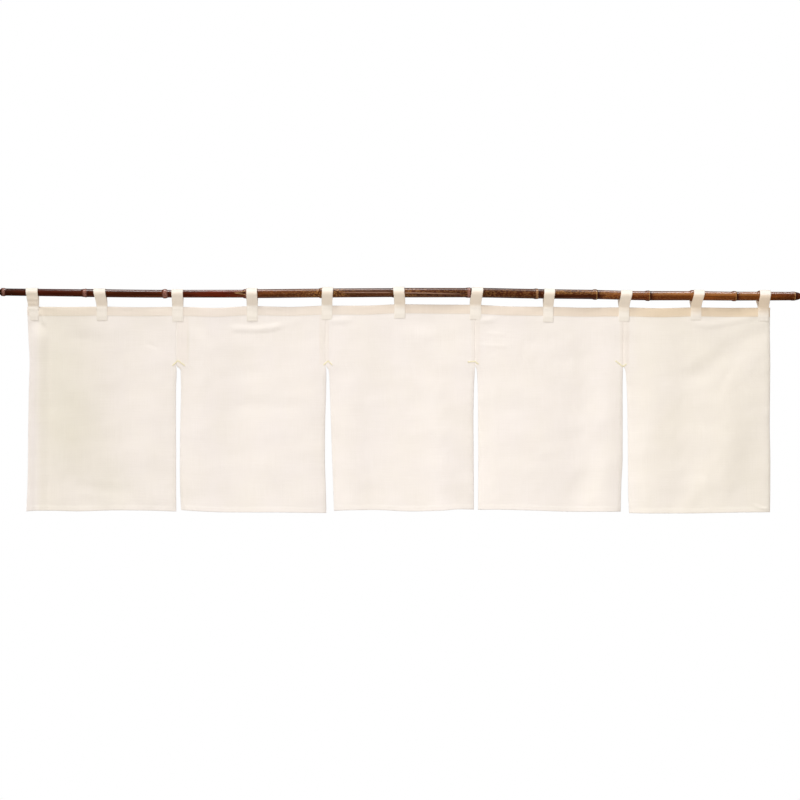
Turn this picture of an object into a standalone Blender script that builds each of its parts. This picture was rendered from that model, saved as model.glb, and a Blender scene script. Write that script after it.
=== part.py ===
"""Noren curtain: five cotton panels hung by eleven sewn tabs from a smoked bamboo pole.

The pole lies along X, and the origin is on its axis at mid-length. The cloth hangs
below it with its front towards -Y. Sizes and tables are in millimetres, and each
object is built in metres. In a table, forward is towards the front.
"""

import math
from collections import namedtuple

import bmesh
import bpy

MM = 0.001

# Driving sizes of the cloth
CLOTH_THICKNESS = 1.2
HEM_THICKNESS = 2.0
HEADING_HEM = 19.5
BOTTOM_HEM = 9.0
SIDE_HEM = 8.0
HEM_STEP = 1.5
SEAM_GAP = 0.3
HEADING_LEVEL = -32.0
SLIT_LEVEL = -164.3
HEM_LEVEL = -501.0

# Driving sizes of the tabs
TAB_THICKNESS = 1.5
FLAT_TO_LEVEL = -70.0
TAB_FIT = 0.3
TAB_AROUND_POLE = 0.6
TAB_LEAD = 1.5
TAB_TURN_STEPS = 9

# How the cloth hangs: flat around each sewn tab, then more and more free
FLAT_BESIDE_TAB = 15.0
FLAT_AT_SEAM = 19.0
FLAT_UNDER_TAB = 3.0
FOLDS_BEGIN_OVER = 40.0
HEM_WAVE_BEGINS_OVER = 300.0
SLIT_LETS_GO_OVER = 120.0
EDGE_SHARE = 0.25
HEADING_WAVE_AT_HEM = 0.4
FOLD_FADE = 2.0
COLUMNS_BETWEEN_TABS = 5

# Driving sizes of the pole
POLE_SIDES = 16
POLE_LEFT = -915.5
POLE_RIGHT = 916.5
RING_RIDGE = 1.5
RING_FOOT = 7.0
CUT_END_ANGLE = 50.0

Ring = namedtuple("Ring", "x axis_z before after rise")
Tab = namedtuple("Tab", "top_x top_width patch_x patch_width heading_z patch")
Gap = namedtuple("Gap", "heading_z forward")
Fold = namedtuple("Fold", "path half_width forward")
Row = namedtuple("Row", "z by_heading by_hem is_hem")
Hem = namedtuple("Hem", "share z forward")
Section = namedtuple(
    "Section",
    "z outer_left slit_1_left slit_1_right slit_2_left slit_2_right"
    " slit_3_left slit_3_right slit_4_left slit_4_right outer_right",
)

# The cane's rings: place, height of the axis, diameters on either side, rise of the ring
RINGS = (
    Ring(-907.1, 1.5, 16.4, 16.6, 1.2),
    Ring(-720.7, -0.7, 17.0, 18.4, 0.9),
    Ring(-536.5, -2.4, 17.8, 17.4, 1.9),
    Ring(-352.4, -2.3, 18.0, 20.3, 1.6),
    Ring(-178.5, -0.8, 20.2, 20.9, 1.6),
    Ring(-12.0, 0.1, 20.4, 22.0, 1.0),
    Ring(156.7, 0.1, 21.4, 22.0, 1.0),
    Ring(312.3, -2.5, 22.0, 21.6, 1.1),
    Ring(447.3, -4.2, 21.4, 20.8, 1.4),
    Ring(567.4, -7.0, 20.6, 21.2, 1.6),
    Ring(669.4, -7.0, 20.9, 21.0, 2.6),
    Ring(765.3, -7.9, 20.4, 20.4, 1.4),
    Ring(824.0, -7.9, 20.0, 20.1, 2.4),
    Ring(900.3, -7.9, 19.4, 19.0, 0.6),
)

# The tabs from left to right: loop over the pole, patch on the heading, height of the heading,
# length of the patch
TABS = (
    Tab(-841.4, 26.3, -838.6, 23.4, -32.2, 31.0),
    Tab(-687.0, 26.3, -681.8, 23.4, -32.0, 31.2),
    Tab(-509.1, 25.2, -508.5, 24.0, -32.5, 33.2),
    Tab(-338.6, 23.4, -338.0, 24.0, -30.9, 34.0),
    Tab(-165.3, 24.0, -167.0, 23.4, -29.8, 31.6),
    Tab(-2.9, 24.0, -0.6, 24.0, -26.7, 31.7),
    Tab(177.3, 25.2, 172.7, 25.2, -28.0, 33.4),
    Tab(342.1, 23.4, 339.2, 22.4, -32.5, 34.4),
    Tab(518.2, 25.2, 512.5, 23.4, -33.8, 31.6),
    Tab(684.1, 23.4, 677.2, 23.4, -33.9, 28.5),
    Tab(834.4, 23.4, 831.3, 24.0, -34.5, 30.5),
)

# The heading half way between two tabs: its height, and how far it stands forward
GAPS = (
    Gap(-33.0, 2.5),
    Gap(-33.4, -2.0),
    Gap(-35.0, 3.0),
    Gap(-32.7, -2.0),
    Gap(-29.9, 2.5),
    Gap(-27.4, -2.5),
    Gap(-31.9, 2.0),
    Gap(-34.4, -2.5),
    Gap(-35.8, 3.0),
    Gap(-34.8, -2.0),
)

# Upright edges of the panels at each level. The seams join them down to the slits.
SECTIONS = (
    Section(-32.0, -852.5, -512.5, -512.5, -170.5, -170.5, 171.8, 171.8, 511.0, 511.0, 846.6),
    Section(-91.0, -850.0, -512.5, -512.5, -170.5, -170.5, 171.8, 171.8, 511.0, 511.0, 846.6),
    Section(-164.3, -846.8, -512.5, -512.5, -170.5, -170.5, 171.8, 171.8, 511.0, 511.0, 847.6),
    Section(-178.0, -847.3, -511.5, -501.9, -168.9, -163.0, 171.2, 176.0, 510.1, 516.0, 847.6),
    Section(-228.0, -849.0, -513.4, -501.6, -169.4, -160.4, 168.9, 178.3, 509.6, 519.9, 847.4),
    Section(-300.0, -850.5, -513.5, -503.4, -171.8, -158.0, 168.0, 179.0, 510.0, 521.6, 847.0),
    Section(-380.0, -851.3, -513.1, -504.3, -172.3, -155.4, 168.7, 179.3, 509.8, 522.5, 848.4),
    Section(-440.0, -852.3, -513.2, -504.0, -170.4, -153.1, 168.9, 179.2, 506.8, 522.7, 848.4),
    Section(-505.0, -855.2, -512.7, -501.6, -168.7, -151.1, 169.2, 178.7, 505.4, 525.2, 847.6),
)
LEFT_EDGES = ("outer_left", "slit_1_right", "slit_2_right", "slit_3_right", "slit_4_right")
RIGHT_EDGES = ("slit_1_left", "slit_2_left", "slit_3_left", "slit_4_left", "outer_right")
PANELS = len(LEFT_EDGES)

# Each panel's bottom hem: share of the width from the left, height, how far it stands forward
HEMS = (
    (
        Hem(0.0, -500.1, -3.0),
        Hem(0.08, -498.0, 2.0),
        Hem(0.22, -498.4, 6.0),
        Hem(0.34, -499.6, 4.0),
        Hem(0.6, -498.0, -5.0),
        Hem(0.82, -498.3, 1.5),
        Hem(1.0, -500.7, -4.0),
    ),
    (
        Hem(0.0, -497.3, -5.0),
        Hem(0.12, -499.6, 2.5),
        Hem(0.36, -502.5, -2.5),
        Hem(0.62, -502.0, 4.5),
        Hem(0.86, -503.3, 1.0),
        Hem(1.0, -504.2, -5.0),
    ),
    (
        Hem(0.0, -499.1, -3.0),
        Hem(0.12, -497.2, 2.0),
        Hem(0.28, -496.9, -3.0),
        Hem(0.55, -500.1, 0.0),
        Hem(0.76, -498.2, 3.5),
        Hem(0.9, -495.1, 0.8),
        Hem(1.0, -496.3, -3.0),
    ),
    (
        Hem(0.0, -496.5, -4.0),
        Hem(0.14, -495.9, 2.5),
        Hem(0.36, -497.6, 3.5),
        Hem(0.7, -501.2, -3.5),
        Hem(0.88, -500.8, 2.0),
        Hem(1.0, -500.9, -3.0),
    ),
    (
        Hem(0.0, -504.3, -5.0),
        Hem(0.14, -504.6, 3.5),
        Hem(0.42, -504.6, -1.0),
        Hem(0.68, -503.0, 3.5),
        Hem(0.84, -502.4, -1.0),
        Hem(1.0, -502.2, -4.0),
    ),
)

# Main folds of the hanging cloth, as soft ridges and, where forward is below zero, troughs
FOLDS = (
    Fold(((-826, -30), (-829, -560)), 26.0, 5.6),
    Fold(((-770, -90), (-762, -460)), 50.0, 1.6),
    Fold(((-740, -20), (-716, -120), (-684, -240), (-664, -361), (-610, -510), (-590, -600)), 60.0, -3.2),
    Fold(((-760, -498), (-670, -514)), 34.0, 1.8),
    Fold(((-486, -30), (-452, -121), (-436, -230)), 24.0, 1.4),
    Fold(((-385, -256), (-190, -256)), 24.0, -0.4),
    Fold(((30, -20), (48, -60), (78, -150), (92, -289), (100, -400), (116, -620)), 46.0, 2.5),
    Fold(((378, -10), (406, -230)), 30.0, 1.0),
    Fold(((490, -270), (445, -400), (346, -540)), 42.0, -1.4),
    Fold(((868, -45), (785, -112), (690, -181), (640, -217)), 34.0, -1.7),
    Fold(((900, -85), (812, -151), (725, -243)), 26.0, 0.6),
    Fold(((760, -140), (771, -460)), 60.0, 1.6),
    Fold(((724, -380), (668, -472), (600, -590)), 38.0, 1.6),
    Fold(((820, -310), (776, -440), (700, -590)), 54.0, -1.0),
)

# Levels of a panel's grid: height, shares by which it follows the heading and the hem, hem or not
ROWS = (
    Row(HEADING_LEVEL, 1.0, 0.0, True),
    Row(HEADING_LEVEL - HEADING_HEM, 1.0, 0.0, True),
    Row(HEADING_LEVEL - HEADING_HEM - HEM_STEP, 1.0, 0.0, False),
    Row(FLAT_TO_LEVEL, 1.0, 0.0, False),
    Row(-82.0, 0.9, 0.0, False),
    Row(-96.0, 0.7, 0.0, False),
    Row(-114.0, 0.5, 0.0, False),
    Row(-138.0, 0.2, 0.0, False),
    Row(SLIT_LEVEL, 0.0, 0.0, False),
    Row(-178.0, 0.0, 0.0, False),
    Row(-200.0, 0.0, 0.0, False),
    Row(-230.0, 0.0, 0.0, False),
    Row(-263.0, 0.0, 0.05, False),
    Row(-296.0, 0.0, 0.1, False),
    Row(-330.0, 0.0, 0.2, False),
    Row(-364.0, 0.0, 0.35, False),
    Row(-398.0, 0.0, 0.55, False),
    Row(-432.0, 0.0, 0.7, False),
    Row(-466.0, 0.0, 0.85, False),
    Row(HEM_LEVEL + BOTTOM_HEM + HEM_STEP, 0.0, 1.0, False),
    Row(HEM_LEVEL + BOTTOM_HEM, 0.0, 1.0, True),
    Row(HEM_LEVEL, 0.0, 1.0, True),
)


def clear_scene():
    for obj in list(bpy.data.objects):
        bpy.data.objects.remove(obj, do_unlink=True)


def material(name, colour, roughness):
    mat = bpy.data.materials.new(name)
    mat.use_nodes = True
    shader = mat.node_tree.nodes["Principled BSDF"]
    shader.inputs["Base Color"].default_value = (*colour, 1.0)
    shader.inputs["Roughness"].default_value = roughness
    shader.inputs["Metallic"].default_value = 0.0
    mat.diffuse_color = (*colour, 1.0)
    return mat


def blend(start, end, value):
    """0 at start, 1 at end, smooth between, whichever of the two is greater."""
    share = min(max((value - start) / (end - start), 0.0), 1.0)
    return share * share * (3.0 - 2.0 * share)


def even_slope(before, after):
    """Slope at a point of a curve from the slopes on its two sides: flat where they disagree."""
    return 2.0 * before * after / (before + after) if before * after > 0.0 else 0.0


def along(points, at):
    """Value at a place on a smooth curve through (place, value) points that never overshoots them."""
    points = sorted(points)
    if at <= points[0][0]:
        return points[0][1]
    if at >= points[-1][0]:
        return points[-1][1]
    rises = [(q[1] - p[1]) / (q[0] - p[0]) for p, q in zip(points, points[1:])]
    i = max(k for k in range(len(rises)) if points[k][0] <= at)
    start = even_slope(rises[i - 1], rises[i]) if i > 0 else rises[i]
    end = even_slope(rises[i], rises[i + 1]) if i + 1 < len(rises) else rises[i]
    (x0, y0), (x1, y1) = points[i], points[i + 1]
    run = x1 - x0
    t = (at - x0) / run
    bend = t * (1.0 - t) * run * (start * (1.0 - t) - end * t)
    return y0 + (y1 - y0) * t * t * (3.0 - 2.0 * t) + bend


def edge(name, z):
    """Place of a named edge of the cloth at a height."""
    return along([(section.z, getattr(section, name)) for section in SECTIONS], z)


def heading_z(x):
    """Height of the heading's top edge, from its height at each tab and between tabs."""
    points = [(tab.patch_x, tab.heading_z) for tab in TABS]
    for left, right, gap in zip(TABS, TABS[1:], GAPS):
        points.append(((left.patch_x + right.patch_x) / 2, gap.heading_z))
    return along(points, x)


def heading_wave(x):
    """How far the heading stands forward at x: not at all at a tab, most half way between two."""
    for left, right, gap in zip(TABS, TABS[1:], GAPS):
        start = left.patch_x + FLAT_BESIDE_TAB
        end = right.patch_x - FLAT_BESIDE_TAB
        if start < x < end:
            return gap.forward * math.sin(math.pi * (x - start) / (end - start)) ** 2
    return 0.0


def path_place(path, x, z):
    """Distance from a path of straight runs, how far along it the nearest point is, its length."""
    nearest, onward, before = math.inf, 0.0, 0.0
    for (x0, z0), (x1, z1) in zip(path, path[1:]):
        run_x, run_z = x1 - x0, z1 - z0
        length = math.hypot(run_x, run_z)
        share = ((x - x0) * run_x + (z - z0) * run_z) / length**2
        share = min(max(share, 0.0), 1.0)
        distance = math.hypot(x - x0 - share * run_x, z - z0 - share * run_z)
        if distance < nearest:
            nearest, onward = distance, before + share * length
        before += length
    return nearest, onward, before


def fold_wave(x, z):
    """Sum of the folds at a point, each highest on its path and soft at its sides and ends."""
    forward = 0.0
    for fold in FOLDS:
        distance, onward, length = path_place(fold.path, x, z)
        near = min(distance / fold.half_width, 1.0)
        fade = min(FOLD_FADE * fold.half_width, length / 2.0)
        ends = blend(0.0, fade, onward) * blend(length, length - fade, onward)
        forward += fold.forward * ends * (1.0 + math.cos(math.pi * near)) / 2.0
    return forward


def hem_wave(number, share, z):
    """Swing of a panel's lower part. Above the slits, both panels of a seam swing together."""
    waves = [[(hem.share, hem.forward) for hem in hems] for hems in HEMS]
    held = 1.0 - blend(SLIT_LEVEL, SLIT_LEVEL - SLIT_LETS_GO_OVER, z)
    swing = along(waves[number], share)
    if number > 0:
        apart = waves[number - 1][-1][1] - waves[number][0][1]
        swing += held * apart / 2.0 * blend(EDGE_SHARE, 0.0, share)
    if number + 1 < PANELS:
        apart = waves[number + 1][0][1] - waves[number][-1][1]
        swing += held * apart / 2.0 * blend(1.0 - EDGE_SHARE, 1.0, share)
    return swing


def cloth_forward(number, x, share, z):
    """How far forward the middle of the cloth stands. It is flat where a tab is sewn on."""
    patch = along([(tab.patch_x, tab.patch) for tab in TABS], x)
    sewn = heading_z(x) - patch - FLAT_UNDER_TAB
    free = blend(sewn, sewn - FOLDS_BEGIN_OVER, z)
    hang = blend(sewn, sewn - HEM_WAVE_BEGINS_OVER, z)
    top = heading_wave(x) * (1.0 - (1.0 - HEADING_WAVE_AT_HEM) * hang)
    return top + free * fold_wave(x, z) + hang * hem_wave(number, share, z)


def spread(start, end, count):
    """Evenly spaced stops after start, the last of them at end."""
    return [start + (end - start) * k / count for k in range(1, count + 1)]


def panel_columns(number):
    """Shares of a panel's width at which its grid has columns: hems, sides of tabs, and between."""
    left = edge(LEFT_EDGES[number], SLIT_LEVEL)
    width = edge(RIGHT_EDGES[number], SLIT_LEVEL) - left
    middle = TABS[2 * number + 1].patch_x - left
    stops = [0.0, SIDE_HEM, SIDE_HEM + HEM_STEP, FLAT_AT_SEAM]
    stops += spread(FLAT_AT_SEAM, middle - FLAT_BESIDE_TAB, COLUMNS_BETWEEN_TABS)
    stops += [middle, middle + FLAT_BESIDE_TAB]
    stops += spread(middle + FLAT_BESIDE_TAB, width - FLAT_AT_SEAM, COLUMNS_BETWEEN_TABS)
    stops += [width - SIDE_HEM - HEM_STEP, width - SIDE_HEM, width]
    return [stop / width for stop in stops]


def panel_point(number, share, row):
    """Middle of the cloth at a column and a row, half a seam gap in from a joining seam."""
    left = edge(LEFT_EDGES[number], row.z) + (SEAM_GAP / 2 if number > 0 else 0.0)
    right = edge(RIGHT_EDGES[number], row.z) - (SEAM_GAP / 2 if number + 1 < PANELS else 0.0)
    x = left + share * (right - left)
    hem_z = along([(hem.share, hem.z) for hem in HEMS[number]], share)
    z = row.z + row.by_heading * (heading_z(x) - HEADING_LEVEL) + row.by_hem * (hem_z - HEM_LEVEL)
    return x, -cloth_forward(number, x, share, z), z


def grid_object(name, columns, rows, place, collection, mat):
    """An open grid of columns by rows, each point set by place(column, row) in millimetres."""
    bm = bmesh.new()
    bmesh.ops.create_grid(bm, x_segments=columns, y_segments=rows, size=0.5)
    spots = [(round((v.co.x + 0.5) * columns), round((0.5 - v.co.y) * rows)) for v in bm.verts]
    for vert, (column, row) in zip(bm.verts, spots):
        vert.co = [value * MM for value in place(column, row)]
    mesh = bpy.data.meshes.new(name)
    bm.to_mesh(mesh)
    bm.free()
    mesh.materials.append(mat)
    obj = bpy.data.objects.new(name, mesh)
    collection.objects.link(obj)
    return obj, spots


def thicken(obj, thickness):
    solid = obj.modifiers.new("Thickness", "SOLIDIFY")
    solid.thickness = thickness * MM
    solid.offset = 0.0
    solid.use_even_offset = True
    return solid


def make_panel(number, collection, mat):
    shares = panel_columns(number)
    last = len(shares) - 1
    obj, spots = grid_object(
        f"panel_{number + 1}",
        last,
        len(ROWS) - 1,
        lambda column, row: panel_point(number, shares[column], ROWS[row]),
        collection,
        mat,
    )
    hems = obj.vertex_groups.new(name="hems")
    for index, (column, row) in enumerate(spots):
        if ROWS[row].is_hem or column in (0, 1, last - 1, last):
            hems.add([index], 1.0, "REPLACE")
    solid = thicken(obj, HEM_THICKNESS)
    solid.vertex_group = hems.name
    solid.thickness_vertex_group = CLOTH_THICKNESS / HEM_THICKNESS


def cane_diameter(x):
    """Diameter of the cane without its rings: even from one ring to the next."""
    if x <= RINGS[0].x:
        return RINGS[0].before
    for left, right in zip(RINGS, RINGS[1:]):
        if x <= right.x:
            share = (x - left.x) / (right.x - left.x)
            return left.after + share * (right.before - left.after)
    return RINGS[-1].after


def pole_radius(x):
    """Radius of the cane with the swelling of the nearest ring."""
    ring = min(RINGS, key=lambda item: abs(item.x - x))
    return cane_diameter(x) / 2 + ring.rise * blend(RING_FOOT, RING_RIDGE, abs(ring.x - x))


def pole_axis(x):
    return along([(ring.x, ring.axis_z) for ring in RINGS], x)


def pole_stations():
    """Places along the pole where it has a circle: each ring's feet and ridge, and half way on."""
    stations = [POLE_LEFT, POLE_RIGHT]
    for ring in RINGS:
        stations += [ring.x + side for side in (-RING_FOOT, -RING_RIDGE, RING_RIDGE, RING_FOOT)]
    for left, right in zip(RINGS, RINGS[1:]):
        stations.append((left.x + right.x) / 2)
    return sorted(stations)


def make_pole(collection, mat):
    """A cylinder cut into as many rings as there are stations, each ring moved to its station."""
    stations = pole_stations()
    last = len(stations) - 1
    bm = bmesh.new()
    bmesh.ops.create_cone(bm, cap_ends=True, segments=POLE_SIDES, radius1=1, radius2=1, depth=1)
    long_edges = [e for e in bm.edges if abs(e.verts[0].co.z - e.verts[1].co.z) > 0.5]
    bmesh.ops.subdivide_edges(bm, edges=long_edges, cuts=last - 1, use_grid_fill=True)
    for vert in bm.verts:
        x = stations[round((vert.co.z + 0.5) * last)]
        angle = math.atan2(vert.co.y, vert.co.x)
        across = pole_radius(x) * math.cos(angle)
        up = pole_axis(x) + pole_radius(x) * math.sin(angle)
        vert.co = (x * MM, across * MM, up * MM)
    mesh = bpy.data.meshes.new("pole")
    bm.to_mesh(mesh)
    bm.free()
    mesh.materials.append(mat)
    mesh.shade_smooth()
    mesh.set_sharp_from_angle(angle=math.radians(CUT_END_ANGLE))
    obj = bpy.data.objects.new("pole", mesh)
    collection.objects.link(obj)


def tab_path(tab):
    """Side view (y, z) of the middle of the strip, from the front patch over the pole to the back."""
    near = [x for x in pole_stations() if abs(x - tab.top_x) < tab.top_width]
    widest = max(pole_radius(x) for x in near + [tab.top_x])
    radius = widest + TAB_AROUND_POLE + TAB_THICKNESS / 2
    centre = pole_axis(tab.top_x)
    beside = HEM_THICKNESS / 2 + TAB_FIT + TAB_THICKNESS / 2
    start = tab.heading_z + TAB_LEAD
    drop = centre - start
    # The straight leg meets the round of the pole this far below the level of the axis
    below = math.pi / 2 - math.atan2(beside, drop) - math.acos(radius / math.hypot(beside, drop))
    sweep = math.pi + 2 * below
    over = []
    for k in range(TAB_TURN_STEPS + 1):
        angle = -math.pi + below - sweep * k / TAB_TURN_STEPS
        over.append((radius * math.cos(angle), centre + radius * math.sin(angle)))
    end = tab.heading_z - tab.patch
    front = [(-beside, end), (-beside, (start + end) / 2), (-beside, start)]
    back = [(-y, z) for y, z in reversed(front)]
    return front + over + back


def make_tab(number, collection, mat):
    tab = TABS[number]
    path = tab_path(tab)
    top = max(z for _, z in path)

    def place(column, row):
        y, z = path[row]
        share = blend(tab.heading_z, top, z)
        middle = tab.patch_x + share * (tab.top_x - tab.patch_x)
        width = tab.patch_width + share * (tab.top_width - tab.patch_width)
        return middle + width * (0.5 - column / 2), y, z

    obj, _ = grid_object(f"tab_{number + 1:02d}", 2, len(path) - 1, place, collection, mat)
    thicken(obj, TAB_THICKNESS)


def main():
    clear_scene()
    collection = bpy.data.collections.new("noren_curtain")
    bpy.context.scene.collection.children.link(collection)
    cotton = material("undyed_cotton", (0.87, 0.80, 0.72), 0.9)
    tab_cotton = material("tab_cotton", (0.86, 0.79, 0.70), 0.9)
    bamboo = material("smoked_bamboo", (0.10, 0.035, 0.018), 0.35)
    make_pole(collection, bamboo)
    for number in range(PANELS):
        make_panel(number, collection, cotton)
    for number in range(len(TABS)):
        make_tab(number, collection, tab_cotton)


main()
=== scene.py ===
"""Noren curtain, dressed: five cotton sheets, eleven sewn tabs and a smoked bamboo pole.

Sizes and tables are in millimetres, in the frame's axes: X along the pole, Z up, and
forward is towards -Y. The sheets hang in the main folds of the solids that they replace,
and have finer creases, rolled edges, puckered hems and rows of stitches.
"""

import math
from collections import namedtuple

import bpy
import numpy as np
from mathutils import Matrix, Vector


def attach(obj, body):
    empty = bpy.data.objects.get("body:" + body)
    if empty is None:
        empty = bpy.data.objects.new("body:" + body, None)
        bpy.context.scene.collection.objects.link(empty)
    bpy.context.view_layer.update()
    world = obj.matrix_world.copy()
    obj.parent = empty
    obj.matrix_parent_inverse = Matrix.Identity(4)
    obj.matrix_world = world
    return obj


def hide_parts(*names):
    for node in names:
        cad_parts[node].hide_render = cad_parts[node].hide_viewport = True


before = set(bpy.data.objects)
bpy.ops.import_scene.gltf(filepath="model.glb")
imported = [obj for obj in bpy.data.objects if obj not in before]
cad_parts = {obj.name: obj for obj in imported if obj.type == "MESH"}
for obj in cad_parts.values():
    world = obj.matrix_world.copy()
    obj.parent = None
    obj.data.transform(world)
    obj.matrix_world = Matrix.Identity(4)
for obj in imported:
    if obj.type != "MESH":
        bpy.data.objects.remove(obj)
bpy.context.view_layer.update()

MM = 0.001
SEED = 11

# Sizes of the cloth
CLOTH_THICKNESS = 0.8
HEADING_THICKNESS = 1.6
HEM_THICKNESS = 1.25
HEADING_HEM = 19.5
BOTTOM_HEM = 9.0
SIDE_HEM = 8.0
HEM_STEP = 1.6
HEADING_LEVEL = -32.0
SLIT_LEVEL = -164.3
HEM_LEVEL = -501.0
HEADING_LINE = HEADING_LEVEL - HEADING_HEM
HEM_LINE = HEM_LEVEL + BOTTOM_HEM

# How the cloth hangs: flat around each sewn tab, then more and more free
FLAT_BESIDE_TAB = 15.0
FLAT_UNDER_TAB = 3.0
FOLDS_BEGIN_OVER = 40.0
CREASES_BEGIN_OVER = 6.0
HEM_WAVE_BEGINS_OVER = 300.0
SLIT_LETS_GO_OVER = 120.0
EDGE_SHARE = 0.25
HEADING_WAVE_AT_HEM = 0.4
HEADING_FOLLOWED_TO = -70.0
HEM_FOLLOWED_FROM = -245.0
FOLD_FADE = 2.0

# Spacing of the sheets' grids
SHEET_PITCH = 3.0
EDGE_PITCH = 1.6
EDGE_ROLL = 0.7
EDGE_ROUNDING = 1.2
EDGE_BLUNTNESS = 0.1

# Rolled edges: depth and reach of the roll, at a free edge and at a joining seam
FREE_ROLL = 2.6
FREE_REACH = 13.0
LEFT_ROLL = -2.0
SEAM_ROLL = 0.45
SEAM_REACH = 7.0
SEAM_STRIP_SOFT = 1.0
SEAM_STRIP_FADE = 3.0
SLIT_OPENS_OVER = 50.0
HEM_FLARE = 0.5
HEM_FLARE_REACH = 14.0

# Puckers beside the rows of stitches, and the cloth's own unevenness
PUCKER = 0.07
PUCKER_LENGTH = 15.0
PUCKER_REACH = 7.0
PUCKER_FINE = 3.7
PUCKER_WANDER = 1.3
PUCKER_WANDER_OVER = 29.0
HEADING_PUCKER = 0.6
RIPPLES = 26
RIPPLE_HEIGHT = 0.11
RIPPLE_LENGTHS = (28.0, 110.0)

# Sizes of the tabs
TAB_THICKNESS = 1.2
TAB_BESIDE_CLOTH = 1.55
TAB_AROUND_POLE = 0.6
TAB_LEAD = 1.5
TAB_TURN_STEPS = 48
TAB_PITCH = 1.4
TAB_COLUMNS = 16
TAB_SMOOTHING = 4
TAB_BULGE = 0.45
TAB_BULGE_REACH = 4.0
TAB_BULGE_UNDER = 4.5
TAB_PRESSED = 0.55
TAB_PRESSED_OVER = 12.0
TAB_END_THICKNESS = 0.55
TAB_LEG_OVER = 4.0
TAB_CROWN = 0.2
TAB_WARMTH = 0.4
TAB_RIPPLE = 0.35
TAB_RIPPLE_TURN = (7.0, 11.0)
TAB_RIPPLE_SLANT = (-3.0, 3.0)
TAB_RIPPLE_PHASE = (0.0, 6.0)
TAB_RIPPLE_FINER = 0.37
TAB_RIPPLE_FROM = 0.6
TAB_RIPPLE_OVER = 8.0

# Sizes of the threads
STITCH_PITCH = 3.2
STITCH_LENGTH = 2.3
STITCH_RADIUS = 0.24
STITCH_IN = 1.6
TAB_STITCH_IN = 3.0
TACK_WIDTH = 3.6
TACK_PITCH = 0.75
TACK_RADIUS = 0.5
TACK_RAISED = 0.4
THREAD_SIDES = 6
THREAD_BODY = (0.2, 0.8)
THREAD_SUNK = 0.6
HEM_STITCH_POINTS = 160
SIDE_STITCH_POINTS = 220
SIDE_STITCHES_UNDER = 4.0

# Sizes of the pole
POLE_SIDES = 64
POLE_LEFT = -915.5
POLE_RIGHT = 916.5
POLE_PITCH = 5.0
RING_PITCH = 0.5
RING_RIDGE = 1.5
RING_FOOT = 7.0
RING_ZONE = 12.0
RING_ASIDE = -1.2
SCAR_ASIDE = 2.6
SCAR_RIDGE_WIDTH = 0.8
SCAR_HEIGHT = 0.4
STAIN_FROM = 4.0
STAIN_TO = 15.0
LEFT_TAPER = (5.0, 2.4)
RIGHT_TAPER = (13.0, 3.2)
TAPER_CURVE = 1.5
GROOVE_START = -377.0
GROOVE_END = -352.0
GROOVE_LEVEL = 1.5
GROOVE_OPENING = 0.16
GROOVE_DEPTH = 1.1
GROOVE_LIP = 0.45
GROOVE_DEEPENS_OVER = 0.3
REFLECTION_LINE_HALF = 1.2
GOLD_BAND_LEVEL = 3.4
GOLD_BAND_HALF = 3.0
GOLDEN_FROM = 0.15
GOLDEN_TO = 0.4
UPPER_FLECKS_OVER = 3.0
LOW_FLECKS_FROM = (325.0, 345.0)
LOW_FLECKS_TO = (470.0, 455.0)
POLE_WALL = 3.6
POLE_HOLLOW = 16.0
POLE_HOLLOW_TIP = 0.05
END_ROUNDING = 0.5

Ring = namedtuple("Ring", "x axis_z before after rise scar_width")
Tab = namedtuple(
    "Tab", "top_x top_width patch_x patch_width heading_z patch back_shift wrinkle tan"
)
Gap = namedtuple("Gap", "heading_z forward")
Fold = namedtuple("Fold", "path half_width forward")
Hem = namedtuple("Hem", "share z forward")
Tack = namedtuple("Tack", "left_x left_z middle_x middle_z right_x right_z")
Shade = namedtuple("Shade", "x z half_width half_height amount")
Line = namedtuple("Line", "x clear level")
Strip = namedtuple("Strip", "left right y glow")
Section = namedtuple(
    "Section",
    "z outer_left slit_1_left slit_1_right slit_2_left slit_2_right"
    " slit_3_left slit_3_right slit_4_left slit_4_right outer_right",
)

# The cane's rings: place, height of the axis, diameters on either side, rise of the ring
RINGS = (
    Ring(-907.1, 1.5, 16.4, 16.6, 1.2, 3.4),
    Ring(-720.7, -0.7, 17, 18.4, 0.9, 4.2),
    Ring(-536.5, -2.4, 17.8, 17.4, 1.9, 5.5),
    Ring(-352.4, -2.3, 18, 20.3, 1.6, 3),
    Ring(-178.5, -0.8, 20.2, 20.9, 1.6, 1.6),
    Ring(-12, 0.1, 20.4, 22, 1, 1.6),
    Ring(156.7, 0.1, 21.4, 22, 1, 3.6),
    Ring(312.3, -2.5, 22, 21.6, 1.1, 3),
    Ring(447.3, -4.2, 21.4, 20.8, 1.4, 1.2),
    Ring(567.4, -7, 20.6, 21.2, 1.6, 1),
    Ring(669.4, -7, 20.9, 21, 2.6, 0.8),
    Ring(765.3, -7.9, 20.4, 20.4, 1.4, 1),
    Ring(824, -7.9, 20, 20.1, 2.4, 0.8),
    Ring(900.3, -7.9, 19.4, 19, 0.6, 1),
)

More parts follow.
